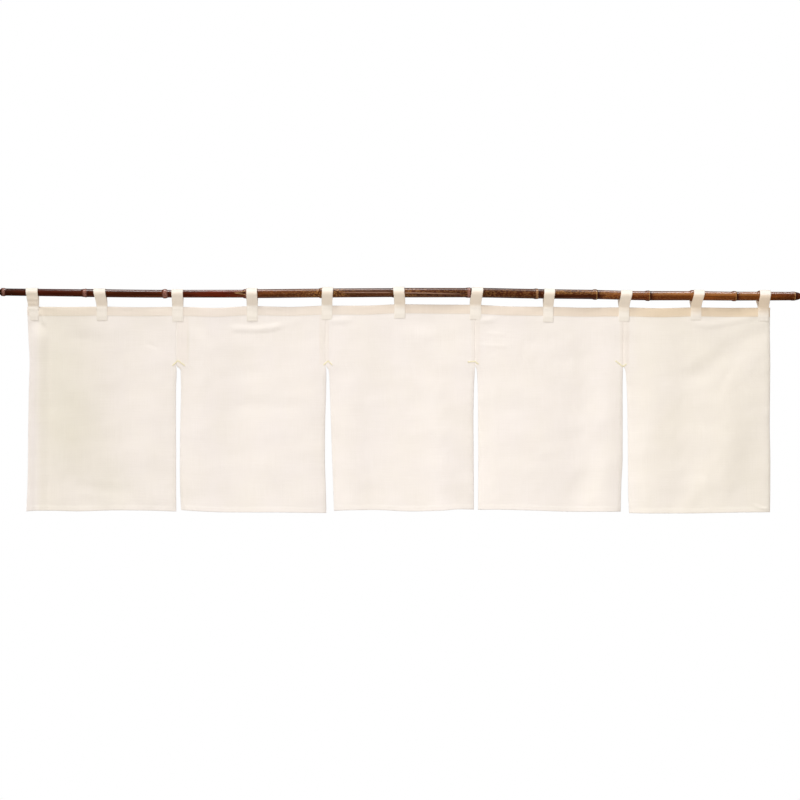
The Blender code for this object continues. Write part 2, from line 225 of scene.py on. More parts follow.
# The cane's colour and how much gold is flecked over it, at shares of its length
SKIN = (
    (0, (56, 28, 12)), (0.05, (84, 31, 14)), (0.14, (80, 34, 9)), (0.2, (86, 38, 12)),
    (0.28, (108, 36, 13)), (0.33, (106, 58, 26)), (0.43, (92, 52, 26)), (0.5, (86, 47, 28)),
    (0.58, (76, 37, 18)), (0.66, (76, 35, 13)), (0.74, (82, 39, 15)), (0.76, (116, 60, 22)),
    (0.8, (104, 48, 16)), (0.88, (134, 72, 24)), (0.94, (122, 66, 23)), (1, (98, 46, 14)),
)
FLECKS = (
    (-400, 0), (-345, 0.05), (-300, 0.12), (-225, 0.25), (-180, 0.6), (-150, 0.6), (-110, 0.15),
    (-40, 0.05), (15, 0.4), (70, 0.2), (150, 0.2), (190, 0.22), (300, 0.18), (330, 0.1),
    (352, 0.5), (400, 0.45), (450, 0.4), (480, 0.3), (550, 0.2), (650, 0.12), (900, 0.08),
)

# A painted reflection: a pale line along the front of the cane's middle: place, how clear it is, height
# over the axis
REFLECTION_LINE = (
    Line(-140, 0, 0.3),
    Line(-118, 0.6, 0.2),
    Line(-30, 0.75, 0),
    Line(-12, 0, -0.4),
    Line(8, 1, -0.9),
    Line(60, 0.95, -1.7),
    Line(120, 0.6, -3.2),
    Line(150, 0, -3.6),
)

# A golden band along the upper front of the cane, and how clear it is
GOLD_BAND = (
    (330, 0), (360, 0.3), (400, 0.1), (450, 0.25), (490, 0.25), (540, 0.2), (590, 0.4),
    (760, 0.42), (815, 0.3), (850, 0),
)

# Painted shade on the doubled heading, where less light comes through its layers, growing towards its
# right end, where the pole's shadow falls on it
HEADING_SHADE = (
    (-850, 0.42), (-300, 0.36), (0, 0.55), (300, 0.6), (500, 0.8), (620, 1), (850, 1),
)

# How warm the cotton's tone is along the row of panels; the paler strip at the far left edge is painted
# light falling from the left
CLOTH_TONE_AND_EDGE_LIGHT = (
    (-850, 0.1), (-834, 0.2), (-818, 0.8), (-720, 0.7), (-620, 0.3), (-200, 0.2), (250, 0.25),
    (510, 0.35), (560, 0.8), (850, 1),
)

# Painted shadow of the pole on each tab's leg below it, along the row of tabs
LEG_SHADOW = (
    (-850, 0.5), (-340, 0.35), (0, 0.6), (500, 0.5), (620, 0.95), (850, 1),
)

# Strips where the seams' allowances lie behind the cloth: left, right, and how much painted shade they
# get, as less light comes through there
SEAM_STRIPS = (
    (-511.5, -484, 0.1),
    (-184, -162.5, 0.12),
    (163.5, 184, 0.1),
    (503, 524, 0.14),
)

# Soft patches of painted shade where the cotton looks browner, mostly from light and partly its uneven
# tone; the two thin ones are painted dark lines beside seams, and negative amounts take shade away,
# lighting the far left strip and the foot of the first panel
SHADES = (
    Shade(-782, -240, 80, 330, 0.65),
    Shade(-848, -280, 14, 300, -0.5),
    Shade(-780, -455, 60, 60, -0.25),
    Shade(-716, -300, 74, 220, 0.42),
    Shade(-656, -430, 62, 110, 0.5),
    Shade(-590, -430, 60, 130, 0.15),
    Shade(715, -130, 90, 70, 0.12),
    Shade(790, -380, 90, 210, 0.1),
    Shade(-484, -112, 5, 62, 0.5),
    Shade(-178, -112, 7, 60, 0.3),
)

# The tabs from left to right: loop over the pole, patch on the heading, height of the heading,
# length of the patch, how far the back leg stands aside, how much the strip is wrinkled, and how
# far the leg's painted shadow runs down the patch
TABS = (
    Tab(-841.4, 26.3, -838.6, 23.4, -32.2, 31, 0, 1, 1),
    Tab(-687, 26.3, -681.8, 23.4, -32, 31.2, 0, 0.3, 1),
    Tab(-509.1, 25.2, -508.5, 24, -32.5, 33.2, 0, 0.3, 1),
    Tab(-338.6, 23.4, -338, 24, -30.9, 34, 0, 0.2, 1),
    Tab(-165.3, 24, -167, 23.4, -29.8, 31.6, -1, 0.3, 1),
    Tab(-2.9, 24, -0.6, 24, -26.7, 31.7, 0.5, 0.2, 14),
    Tab(177.3, 25.2, 172.7, 25.2, -28, 33.4, 0, 0.5, 7),
    Tab(342.1, 23.4, 339.2, 22.4, -32.5, 34.4, -1, 0.2, 6),
    Tab(518.2, 25.2, 512.5, 23.4, -33.8, 31.6, -3, 0.4, 17),
    Tab(684.1, 23.4, 677.2, 23.4, -33.9, 28.5, -4, 0.4, 24),
    Tab(834.4, 23.4, 831.3, 24, -34.5, 30.5, -4, 0.4, 24),
)

# The heading half way between two tabs: its height, and how far it stands forward
GAPS = (
    Gap(-33, 2.5),
    Gap(-33.4, -2),
    Gap(-35, 3),
    Gap(-32.7, -2),
    Gap(-29.9, 2.5),
    Gap(-27.4, -2.5),
    Gap(-31.9, 2),
    Gap(-34.4, -2.5),
    Gap(-35.8, 3),
    Gap(-34.8, -2),
)

# Upright edges of the panels at each level. The seams join them down to the slits.
SECTIONS = (
    Section(-32, -852.5, -512.5, -512.5, -170.5, -170.5, 171.8, 171.8, 511, 511, 846.6),
    Section(-91, -850, -512.5, -512.5, -170.5, -170.5, 171.8, 171.8, 511, 511, 846.6),
    Section(-164.3, -846.8, -512.5, -512.5, -170.5, -170.5, 171.8, 171.8, 511, 511, 847.6),
    Section(-178, -847.3, -511.5, -501.9, -168.9, -163, 171.2, 176, 510.1, 516, 847.6),
    Section(-228, -849, -513.4, -501.6, -169.4, -160.4, 168.9, 178.3, 509.6, 519.9, 847.4),
    Section(-300, -850.5, -513.5, -503.4, -171.8, -158, 168, 179, 510, 521.6, 847),
    Section(-380, -851.3, -513.1, -504.3, -172.3, -155.4, 168.7, 179.3, 509.8, 522.5, 848.4),
    Section(-440, -852.3, -513.2, -504, -170.4, -153.1, 168.9, 179.2, 506.8, 522.7, 848.4),
    Section(-505, -855.2, -512.7, -501.6, -168.7, -151.1, 169.2, 178.7, 505.4, 525.2, 847.6),
)
LEFT_EDGES = ("outer_left", "slit_1_right", "slit_2_right", "slit_3_right", "slit_4_right")
RIGHT_EDGES = ("slit_1_left", "slit_2_left", "slit_3_left", "slit_4_left", "outer_right")
PANELS = len(LEFT_EDGES)

# Each panel's bottom hem: share of the width from the left, height, how far it stands forward
HEMS = (
    (
        Hem(0, -500.1, -3),
        Hem(0.08, -498, 2),
        Hem(0.22, -498.4, 6),
        Hem(0.34, -499.6, 4),
        Hem(0.6, -498, -5),
        Hem(0.82, -498.3, 1.5),
        Hem(1, -500.7, -4),
    ),
    (
        Hem(0, -497.3, -5),
        Hem(0.12, -499.6, 2.5),
        Hem(0.36, -502.5, -2.5),
        Hem(0.62, -502, 4.5),
        Hem(0.86, -503.3, 1),
        Hem(1, -504.2, -5),
    ),
    (
        Hem(0, -499.1, -3),
        Hem(0.12, -497.2, 2),
        Hem(0.28, -496.9, -3),
        Hem(0.55, -500.1, 0),
        Hem(0.76, -498.2, 3.5),
        Hem(0.9, -495.1, 0.8),
        Hem(1, -496.3, -3),
    ),
    (
        Hem(0, -496.5, -4),
        Hem(0.14, -495.9, 2.5),
        Hem(0.36, -497.6, 3.5),
        Hem(0.7, -501.2, -3.5),
        Hem(0.88, -500.8, 2),
        Hem(1, -500.9, -3),
    ),
    (
        Hem(0, -504.3, -5),
        Hem(0.14, -504.6, 3.5),
        Hem(0.42, -504.6, -1),
        Hem(0.68, -503, 3.5),
        Hem(0.84, -502.4, -1),
        Hem(1, -502.2, -4),
    ),
)

# Main folds of the hanging cloth, as soft ridges and, where forward is below zero, troughs
FOLDS = (
    Fold(((-826, -30), (-829, -560)), 26, 5.6),
    Fold(((-770, -90), (-762, -460)), 50, 1.6),
    Fold(((-740, -20), (-716, -120), (-684, -240), (-664, -361), (-610, -510), (-590, -600)), 60, -3.2),
    Fold(((-760, -498), (-670, -514)), 34, 1.8),
    Fold(((-486, -30), (-452, -121), (-436, -230)), 24, 1.4),
    Fold(((-385, -256), (-190, -256)), 24, -0.4),
    Fold(((30, -20), (48, -60), (78, -150), (92, -289), (100, -400), (116, -620)), 46, 2.5),
    Fold(((378, -10), (406, -230)), 30, 1),
    Fold(((490, -270), (445, -400), (346, -540)), 42, -1.4),
    Fold(((868, -45), (785, -112), (690, -181), (640, -217)), 34, -1.7),
    Fold(((900, -85), (812, -151), (725, -243)), 26, 0.6),
    Fold(((760, -140), (771, -460)), 60, 1.6),
    Fold(((724, -380), (668, -472), (600, -590)), 38, 1.6),
    Fold(((820, -310), (776, -440), (700, -590)), 54, -1),
)

# Finer creases, many of them where a sewn tab pulls at the cloth
CREASES = (
    Fold(((-828, -34), (-811, -80)), 8, 2),
    Fold(((-760, -440), (-630, -454)), 22, -0.8),
    Fold(((-590, -111), (-545, -131)), 9, -0.5),
    Fold(((-394, -82), (-326, -84), (-292, -80), (-262, -73)), 12, 1.6),
    Fold(((-306, -83), (-268, -74), (-222, -61)), 11, 0.3),
    Fold(((-140, -56), (-138, -200)), 26, 1),
    Fold(((-172, -66), (-104, -62)), 13, 1.3),
    Fold(((176, -67), (222, -60)), 10, 1),
    Fold(((190, -93), (247, -96)), 7, 0.4),
    Fold(((174, -120), (252, -123)), 7, 0.45),
    Fold(((196, -146), (230, -146)), 7, 0.35),
    Fold(((288, -92), (281, -164)), 11, -0.45),
    Fold(((340, -144), (398, -174)), 14, -0.2),
    Fold(((660, -70), (706, -75), (743, -70), (836, -48)), 12, 0.78),
    Fold(((806, -120), (764, -160), (716, -250)), 16, -0.4),
    Fold(((806, -486), (848, -498)), 6, 0.8),
)

# The thread at the top of each slit, which runs from the left to the middle to the right
TACKS = (
    Tack(-520.6, -166.6, -508.2, -155, -492.6, -166.6),
    Tack(-175, -165, -164.7, -156, -155.3, -165),
    Tack(155.4, -158.4, 171.6, -157.2, 179.3, -163.3),
    Tack(493.5, -156.1, 510.2, -168.9, 517.9, -163.4),
)


def unit_range(value):
    return np.clip(value, 0.0, 1.0)


def blend(start, end, value):
    """0 at start, 1 at end, smooth between, whichever of the two is greater."""
    share = unit_range((value - start) / (end - start))
    return share * share * (3.0 - 2.0 * share)


def along(points, at):
    """Values at places on a smooth curve through (place, value) points that never overshoots."""
    place, value = np.array(sorted(points)).T
    rise = np.diff(value) / np.diff(place)
    before, after = rise[:-1], rise[1:]
    agree = before * after > 0.0
    inner = np.where(agree, 2.0 * before * after / np.where(agree, before + after, 1.0), 0.0)
    slope = np.concatenate(([rise[0]], inner, [rise[-1]]))
    at = np.clip(at, place[0], place[-1])
    i = np.clip(np.searchsorted(place, at, side="right") - 1, 0, len(rise) - 1)
    run = place[i + 1] - place[i]
    t = (at - place[i]) / run
    bend = t * (1.0 - t) * run * (slope[i] * (1.0 - t) - slope[i + 1] * t)
    return value[i] + (value[i + 1] - value[i]) * t * t * (3.0 - 2.0 * t) + bend


def stops(breaks, pitch):
    """The breaks, with evenly spaced stops between them that are no further apart than pitch."""
    found = [breaks[:1]]
    for start, end in zip(breaks, breaks[1:]):
        count = math.ceil(abs(end - start) / pitch)
        found.append(np.linspace(start, end, count + 1)[1:])
    return np.concatenate(found)


def edge(name, z):
    """Place of a named edge of the cloth at a height."""
    return along([(section.z, getattr(section, name)) for section in SECTIONS], z)


def heading_z(x):
    """Height of the heading's top edge, from its height at each tab and between tabs."""
    points = [(tab.patch_x, tab.heading_z) for tab in TABS]
    for left, right, gap in zip(TABS, TABS[1:], GAPS):
        points.append(((left.patch_x + right.patch_x) / 2, gap.heading_z))
    return along(points, x)


def heading_wave(x):
    """How far the heading stands forward at x: not at all at a tab, most half way between two."""
    forward = np.zeros_like(x)
    for left, right, gap in zip(TABS, TABS[1:], GAPS):
        start = left.patch_x + FLAT_BESIDE_TAB
        end = right.patch_x - FLAT_BESIDE_TAB
        share = unit_range((x - start) / (end - start))
        forward += gap.forward * np.sin(np.pi * share) ** 2
    return forward


def path_place(path, x, z):
    """Distance from a path of straight runs, and how far along it the nearest point lies."""
    nearest = np.full(x.shape, np.inf)
    onward = np.zeros_like(x)
    before = 0.0
    for (x0, z0), (x1, z1) in zip(path, path[1:]):
        run_x, run_z = x1 - x0, z1 - z0
        length = math.hypot(run_x, run_z)
        share = unit_range(((x - x0) * run_x + (z - z0) * run_z) / length**2)
        distance = np.hypot(x - x0 - share * run_x, z - z0 - share * run_z)
        onward = np.where(distance < nearest, before + share * length, onward)
        nearest = np.minimum(nearest, distance)
        before += length
    return nearest, onward, before


def fold_wave(folds, x, z):
    """Sum of the folds at a point, each highest on its path and soft at its sides and ends."""
    forward = np.zeros_like(x)
    for fold in folds:
        distance, onward, length = path_place(fold.path, x, z)
        near = unit_range(distance / fold.half_width)
        fade = min(FOLD_FADE * fold.half_width, length / 2.0)
        ends = blend(0.0, fade, onward) * blend(length, length - fade, onward)
        forward += fold.forward * ends * (1.0 + np.cos(np.pi * near)) / 2.0
    return forward


def hem_wave(number, share, z):
    """Swing of a panel's lower part. Above the slits, both panels of a seam swing together."""
    waves = [[(hem.share, hem.forward) for hem in hems] for hems in HEMS]
    held = 1.0 - blend(SLIT_LEVEL, SLIT_LEVEL - SLIT_LETS_GO_OVER, z)
    swing = along(waves[number], share)
    if number > 0:
        apart = waves[number - 1][-1][1] - waves[number][0][1]
        swing = swing + held * apart / 2.0 * blend(EDGE_SHARE, 0.0, share)
    if number + 1 < PANELS:
        apart = waves[number + 1][0][1] - waves[number][-1][1]
        swing = swing + held * apart / 2.0 * blend(1.0 - EDGE_SHARE, 1.0, share)
    return swing


def ripple_wave(x, z):
    """Slight unevenness of the whole cloth, from many faint waves in all directions."""
    rng = np.random.default_rng(SEED)
    forward = np.zeros_like(x)
    for _ in range(RIPPLES):
        length = rng.uniform(*RIPPLE_LENGTHS)
        angle = rng.uniform(0.0, math.pi)
        phase = rng.uniform(0.0, 2.0 * math.pi)
        run = (x * math.cos(angle) + z * math.sin(angle)) / length
        forward += RIPPLE_HEIGHT * length / RIPPLE_LENGTHS[1] * np.sin(2.0 * math.pi * run + phase)
    return forward


def pucker_wave(reach, run):
    """Gathers beside a row of stitches: reach is the distance from it, run the place along it."""
    wander = PUCKER_WANDER * np.sin(run / PUCKER_WANDER_OVER)
    wave = np.sin(2.0 * math.pi * run / PUCKER_LENGTH) + np.sin(run / PUCKER_FINE + wander)
    return PUCKER * wave * np.exp(-((reach / PUCKER_REACH) ** 2))


def roll(depth, reach, away):
    """How far back an edge rolls at a distance away from it."""
    return depth * unit_range(1.0 - away / reach) ** 2


def cloth_point(number, share, level):
    """Middle of a panel's cloth at shares of its width and levels of its drop: x, forward, z."""
    left = edge(LEFT_EDGES[number], level)
    right = edge(RIGHT_EDGES[number], level)
    x = left + share * (right - left)
    hem = along([(row.share, row.z) for row in HEMS[number]], share)
    with_heading = unit_range((level - SLIT_LEVEL) / (HEADING_FOLLOWED_TO - SLIT_LEVEL))
    with_hem = unit_range((level - HEM_FOLLOWED_FROM) / (HEM_LINE - HEM_FOLLOWED_FROM))
    z = level + with_heading * (heading_z(x) - HEADING_LEVEL) + with_hem * (hem - HEM_LEVEL)

    patch = along([(tab.patch_x, tab.patch) for tab in TABS], x)
    sewn = heading_z(x) - patch - FLAT_UNDER_TAB
    free = blend(sewn, sewn - FOLDS_BEGIN_OVER, z)
    loose = blend(sewn + patch, sewn + patch - CREASES_BEGIN_OVER, z)
    hang = blend(sewn, sewn - HEM_WAVE_BEGINS_OVER, z)
    forward = heading_wave(x) * (1.0 - (1.0 - HEADING_WAVE_AT_HEM) * hang)
    forward += free * fold_wave(FOLDS, x, z) + hang * hem_wave(number, share, z)
    forward += loose * (fold_wave(CREASES, x, z) + ripple_wave(x, z))

    open_slit = blend(SLIT_LEVEL, SLIT_LEVEL - SLIT_OPENS_OVER, z)
    below_patch = blend(sewn, sewn - CREASES_BEGIN_OVER, z)
    for away, outer, free_roll in (
        (x - left, number == 0, LEFT_ROLL if number == 0 else FREE_ROLL),
        (right - x, number == PANELS - 1, FREE_ROLL),
    ):
        freed = loose if outer else open_slit
        depth = SEAM_ROLL * below_patch + (free_roll - SEAM_ROLL) * freed
        reach = SEAM_REACH + (FREE_REACH - SEAM_REACH) * freed
        forward -= roll(depth, reach, away)
        forward += freed * pucker_wave(np.abs(away - SIDE_HEM), z)
    above_hem = level - HEM_LEVEL
    forward += roll(HEM_FLARE, HEM_FLARE_REACH, above_hem)
    forward += pucker_wave(np.abs(above_hem - BOTTOM_HEM), x)
    forward += HEADING_PUCKER * pucker_wave(np.abs(HEADING_LINE - level), x)
    return x, forward, z


def as_points(x, forward, z):
    """Points in the frame's axes, from places, depths and heights."""
    return np.stack((x, -forward, z), axis=-1)


def unit(vectors):
    return vectors / np.linalg.norm(vectors, axis=-1, keepdims=True)


def new_object(name, data):
    obj = bpy.data.objects.new(name, data)
    bpy.context.scene.collection.objects.link(obj)
    return obj


def mesh_object(name, vertices, faces, mat, attributes=None):
    """A smooth object from vertices in millimetres and faces, with attributes by name."""
    mesh = bpy.data.meshes.new(name)
    mesh.from_pydata((vertices * MM).tolist(), [], faces)
    for key, values in (attributes or {}).items():
        kind, field = ("FLOAT_VECTOR", "vector") if values.ndim == 2 else ("FLOAT", "value")
        layer = mesh.attributes.new(key, kind, "POINT")
        layer.data.foreach_set(field, values.astype(np.float32).ravel())
    mesh.materials.append(mat)
    mesh.shade_smooth()
    return new_object(name, mesh)


def closed_sheet(name, points, thickness, mat, attributes):
    """A sheet of cloth around a grid of points, front, back and rounded edges in one mesh.

    Rows run so that the front is on the side of (step to next row) x (step to next column).
    """
    rows, columns, _ = points.shape
    normal = unit(np.cross(np.gradient(points, axis=0), np.gradient(points, axis=1)))
    half = thickness[..., None] / 2.0
    front, back = points + normal * half, points - normal * half
    index = np.arange(rows * columns).reshape(rows, columns)
    rim = np.concatenate((index[0, :-1], index[:-1, -1], index[-1, :0:-1], index[:0:-1, 0]))
    rim_row, rim_column = np.divmod(rim, columns)
    inner_row = np.clip(rim_row, 1, rows - 2)
    inner_column = np.clip(rim_column, 1, columns - 2)
    outward = unit(points[rim_row, rim_column] - points[inner_row, inner_column])
    edge_points = points[rim_row, rim_column] + outward * half[rim_row, rim_column]

    corners = (index[:-1, :-1], index[1:, :-1], index[1:, 1:], index[:-1, 1:])
    quads = np.stack(corners, axis=-1).reshape(-1, 4)
    behind = rows * columns
    middle = 2 * rows * columns + np.arange(len(rim))
    onward = np.roll(rim, -1)
    middle_onward = np.roll(middle, -1)
    faces = quads.tolist()
    faces += (quads[:, ::-1] + behind).tolist()
    faces += np.stack((rim, onward, middle_onward, middle), axis=-1).tolist()
    faces += np.stack((middle, middle_onward, onward + behind, rim + behind), axis=-1).tolist()
    vertices = np.concatenate((front.reshape(-1, 3), back.reshape(-1, 3), edge_points))

    spread = {}
    for key, values in attributes.items():
        flat = values.reshape(rows * columns, -1) if values.ndim == 3 else values.ravel()
        spread[key] = np.concatenate((flat, flat, flat[rim]))
    return mesh_object(name, vertices, faces, mat, spread)


def panel_width(number):
    return edge(RIGHT_EDGES[number], SLIT_LEVEL) - edge(LEFT_EDGES[number], SLIT_LEVEL)


def panel_grid(number):
    """Shares of the width and levels of the drop at which a panel's sheet has points."""
    width = panel_width(number)
    inside = SIDE_HEM + HEM_STEP
    columns = np.concatenate(
        (
            stops([0.0, EDGE_ROLL, SIDE_HEM], EDGE_PITCH),
            stops([inside, width - inside], SHEET_PITCH),
            stops([width - SIDE_HEM, width - EDGE_ROLL, width], EDGE_PITCH),
        )
    )
    levels = np.concatenate(
        (
            stops([HEADING_LEVEL, HEADING_LEVEL - EDGE_ROLL, HEADING_LINE], EDGE_PITCH),
            stops([HEADING_LINE - HEM_STEP, HEM_LINE + HEM_STEP], SHEET_PITCH),
            stops([HEM_LINE, HEM_LEVEL + EDGE_ROLL, HEM_LEVEL], EDGE_PITCH),
        )
    )
    return np.meshgrid(columns / width, levels), width


def make_panel(number, mat):
    """One cotton width with its folded hems."""
    (share, level), width = panel_grid(number)
    x, forward, z = cloth_point(number, share, level)
    in_heading = level > HEADING_LINE - HEM_STEP / 2
    from_edge = np.minimum(share, 1.0 - share) * width
    in_hem = (from_edge < SIDE_HEM + HEM_STEP / 2) | (level < HEM_LINE + HEM_STEP / 2)
    thickness = np.where(in_hem, HEM_THICKNESS, CLOTH_THICKNESS)
    thickness = np.where(in_heading, HEADING_THICKNESS, thickness)
    inward = np.minimum(from_edge, np.minimum(HEADING_LEVEL - level, level - HEM_LEVEL))
    thickness = thickness * np.sqrt(unit_range(EDGE_BLUNTNESS + inward / EDGE_ROUNDING))
    flat = np.stack((share * width + number * width, level, np.zeros_like(level)), axis=-1)
    # Painted shade where doubled cloth lets less light through: the seams' allowances and the heading,
    # whose right end the pole's shadow also darkens
    soft = SEAM_STRIP_SOFT
    strips = sum(
        tone * blend(start - soft, start + soft, x) * blend(end + soft, end - soft, x)
        for start, end, tone in SEAM_STRIPS
    )
    strips = strips * blend(SLIT_LEVEL - SEAM_STRIP_FADE, SLIT_LEVEL + SEAM_STRIP_FADE, level)
    overlays = np.where(in_heading, along(HEADING_SHADE, x), strips)
    # The cotton's warmth, with painted light paling the far left edge
    warmth = along(CLOTH_TONE_AND_EDGE_LIGHT, x)
    attributes = {"flat": flat, "overlays": overlays, "warmth": warmth, "shade": shade_at(x, z)}
    name = f"cotton_panel_{number + 1}"
    return closed_sheet(name, as_points(x, forward, z), thickness, mat, attributes)


def cane_diameter(x):
    """Diameter of the cane without its rings: even from one ring to the next."""
    diameter = np.full(x.shape, RINGS[-1].after)
    for left, right in reversed(list(zip(RINGS, RINGS[1:]))):
        share = (x - left.x) / (right.x - left.x)
        between = left.after + share * (right.before - left.after)
        diameter = np.where(x <= right.x, between, diameter)
    return np.where(x <= RINGS[0].x, RINGS[0].before, diameter)


def ring_aside(x):
    """Signed distance from the nearest ring, with that ring's rise and the width of its scar."""
    places = np.array([ring.x for ring in RINGS])
    rises = np.array([ring.rise for ring in RINGS])
    widths = np.array([ring.scar_width for ring in RINGS])
    nearest = np.abs(x[:, None] - places).argmin(axis=1)
    return x - places[nearest], rises[nearest], widths[nearest]


def pole_radius(x):
    """Radius of the cane with the swelling of the nearest ring and its sharper scar."""
    aside, rise, _ = ring_aside(x)
    swelling = rise * blend(RING_FOOT, RING_RIDGE, np.abs(aside - RING_ASIDE))
    scar = SCAR_HEIGHT * np.exp(-(((aside - SCAR_ASIDE) / SCAR_RIDGE_WIDTH) ** 2))
    radius = cane_diameter(x) / 2.0 + swelling + scar
    for from_end, (reach, drop) in ((x - POLE_LEFT, LEFT_TAPER), (POLE_RIGHT - x, RIGHT_TAPER)):
        radius = radius - drop * unit_range(1.0 - from_end / reach) ** TAPER_CURVE
    return radius


def groove_shape(x, y, z):
    """The channel where a branch grew: how far inside its V a point lies, and nearness to its lip."""
    share = unit_range((x - GROOVE_START) / (GROOVE_END - GROOVE_START))
    half = GROOVE_OPENING * (x - GROOVE_START)
    within = (x > GROOVE_START) & (x < GROOVE_END) & (y < 0.0)
    aside = np.abs(z - GROOVE_LEVEL) - half
    inside = np.where(within, blend(GROOVE_LIP, -GROOVE_LIP, aside), 0.0)
    inside = inside * blend(0.0, GROOVE_DEEPENS_OVER, share)
    lip = np.where(within, np.exp(-((aside / GROOVE_LIP) ** 2)), 0.0)
    return inside, lip


def pole_axis(x):
    return along([(ring.x, ring.axis_z) for ring in RINGS], x)


def pole_profile():
    """Places and radii along the cane's skin, with the hollow that shows in each cut end."""
    breaks = [POLE_LEFT]
    for ring in RINGS:
        low, high = ring.x - RING_ZONE, ring.x + RING_ZONE
        breaks += [x for x in (low, high) if POLE_LEFT + 1 < x < POLE_RIGHT - 1]
    breaks.append(POLE_RIGHT)
    spans = []
    for start, end in zip(breaks, breaks[1:]):
        middle = np.array([(start + end) / 2.0])
        fine = abs(ring_aside(middle)[0][0]) < RING_ZONE
        spans.append(stops([start, end], RING_PITCH if fine else POLE_PITCH)[:-1])
    skin = np.concatenate(spans + [np.array([POLE_RIGHT])])
    radius = pole_radius(skin)
    near_end = np.minimum(skin - POLE_LEFT, POLE_RIGHT - skin)
    radius = radius - END_ROUNDING * unit_range(1.0 - near_end / END_ROUNDING)
    ends = []
    for x, inward, at in ((POLE_LEFT, 1.0, 0), (POLE_RIGHT, -1.0, -1)):
        bore = radius[at] - POLE_WALL
        bottom = x + inward * POLE_HOLLOW
        places = [bottom, bottom, x + inward * END_ROUNDING, x]
        ends.append((places, [POLE_HOLLOW_TIP, bore, bore, bore + END_ROUNDING]))
    (left_x, left_r), (right_x, right_r) = ends
    place = np.concatenate((left_x, skin, right_x[::-1]))
    cut = np.concatenate((np.ones(4), np.zeros(len(skin)), np.ones(4)))
    return place, np.concatenate((left_r, radius, right_r[::-1])), cut


def make_pole(mat):
    """The bamboo cane: rings, scars and two hollow cut ends."""
    place, radius, cut = pole_profile()
    angle = np.linspace(0.0, 2.0 * math.pi, POLE_SIDES, endpoint=False)
    x = np.repeat(place[:, None], POLE_SIDES, axis=1)
    out = np.repeat(radius[:, None], POLE_SIDES, axis=1)
    inside, lip = groove_shape(x, out * np.cos(angle), out * np.sin(angle))
    out = out - GROOVE_DEPTH * inside
    vertices = np.stack(
        (x, out * np.cos(angle), pole_axis(place)[:, None] + out * np.sin(angle)), axis=-1
    )
    index = np.arange(len(place) * POLE_SIDES).reshape(len(place), POLE_SIDES)
    around = np.roll(index, -1, axis=1)
    corners = (index[:-1], around[:-1], around[1:], index[1:])
    faces = np.stack(corners, axis=-1).reshape(-1, 4).tolist()
    faces += [index[0, ::-1].tolist(), index[-1].tolist()]
    aside, _, width = ring_aside(place)
    scar = np.exp(-(((aside - SCAR_ASIDE + width / 2.0) / width) ** 4))
    stain = blend(STAIN_TO, STAIN_FROM, aside) * blend(STAIN_FROM - 1.0, STAIN_FROM, aside)
    flecks = along(FLECKS, place)
    attributes = {
        key: np.repeat(values, POLE_SIDES)
        for key, values in (("scar", scar), ("stain", stain), ("cut", cut))
    }
    attributes["groove"] = inside.ravel()
    attributes["lip"] = lip.ravel()
    # Painted reflection: a pale line on the front of the cane
    level = along([(line.x, line.level) for line in REFLECTION_LINE], place)[:, None]
    clear = along([(line.x, line.clear) for line in REFLECTION_LINE], place)[:, None]
    high = (out * np.sin(angle) - level) / REFLECTION_LINE_HALF
    attributes["line"] = (clear * (np.cos(angle) < 0.0) * np.exp(-(high**2))).ravel()
    high = (out * np.sin(angle) - GOLD_BAND_LEVEL) / GOLD_BAND_HALF
    attributes["band"] = (along(GOLD_BAND, place)[:, None] * np.exp(-(high**2))).ravel()
    upper = blend(-UPPER_FLECKS_OVER, UPPER_FLECKS_OVER, out * np.sin(angle))
    low = 1.0 - blend(*LOW_FLECKS_FROM, place)[:, None] * blend(*LOW_FLECKS_TO, place)[:, None]
    attributes["flecks"] = (flecks[:, None] * np.maximum(upper, low)).ravel()
    return mesh_object("bamboo_pole", vertices.reshape(-1, 3), faces, mat, attributes)


def tab_line(tab):
    """Side view of a strip's middle, from its front patch over the pole to its back patch."""
    beside_loop = tab.top_x + np.linspace(-tab.top_width, tab.top_width, 25) / 2.0
    radius = pole_radius(beside_loop).max() + TAB_AROUND_POLE + TAB_THICKNESS / 2
    centre = float(pole_axis(tab.top_x))
    beside = TAB_BESIDE_CLOTH
    start = tab.heading_z + TAB_LEAD
    drop = centre - start
    # The straight leg meets the round of the pole this far below the level of the axis
    below = math.pi / 2 - math.atan2(beside, drop) - math.acos(radius / math.hypot(beside, drop))
    angle = np.linspace(-below, math.pi + below, TAB_TURN_STEPS + 1)
    end = tab.heading_z - tab.patch
    forward = np.concatenate(([beside, beside], radius * np.cos(angle), [-beside, -beside]))
    z = np.concatenate(([end, start], centre + radius * np.sin(angle), [start, end]))
    length = np.concatenate(([0.0], np.cumsum(np.hypot(np.diff(forward), np.diff(z)))))
    run = stops([0.0, length[-1]], TAB_PITCH)
    forward, z = np.interp(run, length, forward), np.interp(run, length, z)
    for _ in range(TAB_SMOOTHING):
        for line in (forward, z):
            line[1:-1] = (line[:-2] + 2.0 * line[1:-1] + line[2:]) / 4.0
    return run, forward, z


def tab_middle(tab, forward, z):
    """Place along the pole, and width, of a strip at each point of its side view."""
    share = blend(tab.heading_z, z.max(), z)
    behind = blend(0.0, 1.0, -forward / TAB_BESIDE_CLOTH) * share * (1.0 - share) * 4.0
    middle = tab.patch_x + share * (tab.top_x - tab.patch_x) + tab.back_shift * behind
    return middle, tab.patch_width + share * (tab.top_width - tab.patch_width)


